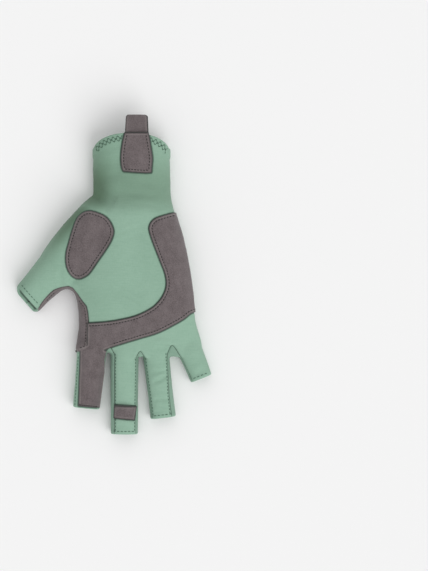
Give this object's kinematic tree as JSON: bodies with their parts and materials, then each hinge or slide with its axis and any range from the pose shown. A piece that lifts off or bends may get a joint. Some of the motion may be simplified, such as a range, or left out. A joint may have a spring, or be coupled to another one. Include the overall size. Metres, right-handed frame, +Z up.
{
  "type": "fishing glove",
  "caption": "Half-finger fishing glove for the right hand in stretch fabric, with suede palm patches and a pull loop at the cuff.",
  "frame": {"origin": "middle of the glove's box, on the surface that it lies on, palm up", "axes": "+Y from the fingers to the cuff, +Z up out of the palm, +X away from the thumb"},
  "size_m": [0.152, 0.2466, 0.029],
  "materials": {
    "stretch_fabric": "matte mint-green knit",
    "suede": "matte grey-brown microsuede"
  },
  "bodies": {
    "root": {"palm_panel": "stretch_fabric", "back_panel": "stretch_fabric", "fourchette_index_middle": "stretch_fabric", "fourchette_middle_ring": "stretch_fabric", "fourchette_ring_little": "stretch_fabric", "web_gusset": "suede", "thenar_patch": "suede", "band_patch": "suede", "middle_finger_tab": "suede", "cuff_patch": "suede", "pull_loop": "suede"}
  },
  "joints": []
}
